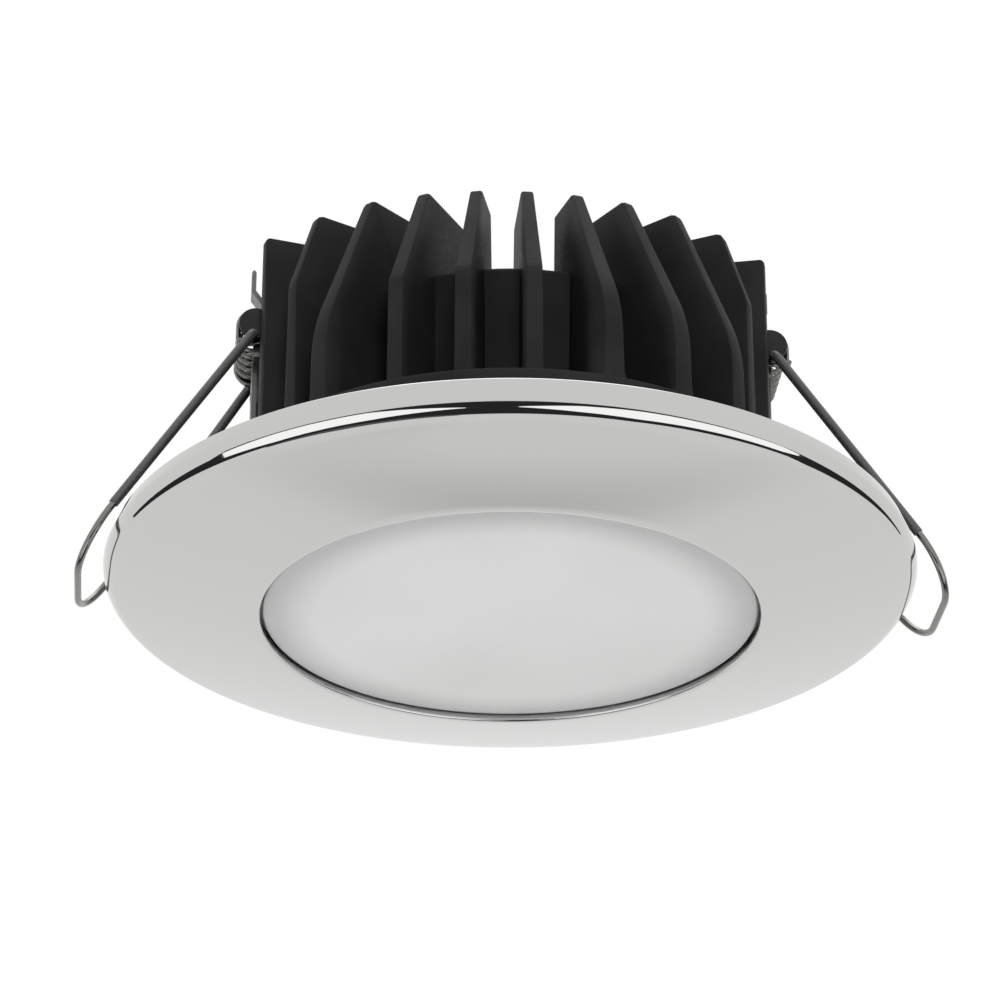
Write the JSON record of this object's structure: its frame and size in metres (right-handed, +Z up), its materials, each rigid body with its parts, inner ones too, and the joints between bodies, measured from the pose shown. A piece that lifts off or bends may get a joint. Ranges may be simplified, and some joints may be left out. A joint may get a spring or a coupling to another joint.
{
  "type": "soffit downlight",
  "caption": "Round recessed soffit downlight: polished metal trim with a frosted lens, black finned body above it and two sprung bail clips that grip the soffit.",
  "frame": {"origin": "on the lamp's axis, in the plane where the back of the trim meets the soffit", "axes": "+Z up into the soffit, along the lamp's axis; +X from the lamp's axis to the right clip; -Y towards the front fin"},
  "size_m": [0.1285, 0.12, 0.0572],
  "materials": {
    "stainless": "polished",
    "foam": "matt closed-cell foam",
    "diffuser": "frosted",
    "seal_rubber": "matt",
    "reflector_white": "white",
    "black_casting": "black satin coat on a die casting",
    "thermal_pad": "matt silicone",
    "board": "white solder mask",
    "led": "yellow phosphor",
    "terminal": "white",
    "screw_steel": "plated",
    "gland_plastic": "black nylon",
    "bracket_steel": "plated sheet",
    "spring_steel": "spring wire",
    "bail_steel": "bright wire",
    "sleeve": "soft grey tubing",
    "bush": "black nylon"
  },
  "bodies": {
    "body": {"trim_ring": "stainless", "soffit_gasket": "foam", "lens": "diffuser", "lens_seal": "seal_rubber", "reflector": "reflector_white", "heat_sink": "black_casting", "thermal_pad": "thermal_pad", "led_board": "board", "leds": "led", "wire_terminal": "terminal", "board_screws": "screw_steel", "trim_screws": "screw_steel", "gland_body": "gland_plastic", "gland_nut": "gland_plastic", "gland_seal": "seal_rubber", "left_bracket": "bracket_steel", "left_bracket_screws": "screw_steel", "left_spring": "spring_steel", "right_bracket": "bracket_steel", "right_bracket_screws": "screw_steel", "right_spring": "spring_steel"},
    "left_clip": {"left_bail": "bail_steel", "left_sleeves": "sleeve", "left_bushes": "bush"},
    "right_clip": {"right_bail": "bail_steel", "right_sleeves": "sleeve", "right_bushes": "bush"}
  },
  "joints": [
    {"name": "left_clip_hinge", "type": "hinge", "parent": "body", "child": "left_clip", "pos_m": [-0.0388, 0, 0.0344], "axis": [0, 1, 0], "range_deg": [0, 147.7], "stiffness_Nm_per_rad": 0.018, "springref_deg": -91.67, "deforming": ["left_spring"]},
    {"name": "right_clip_hinge", "type": "hinge", "parent": "body", "child": "right_clip", "pos_m": [0.0388, 0, 0.0344], "axis": [0, -1, 0], "range_deg": [0, 146.9], "stiffness_Nm_per_rad": 0.018, "springref_deg": -91.67, "deforming": ["right_spring"]}
  ]
}
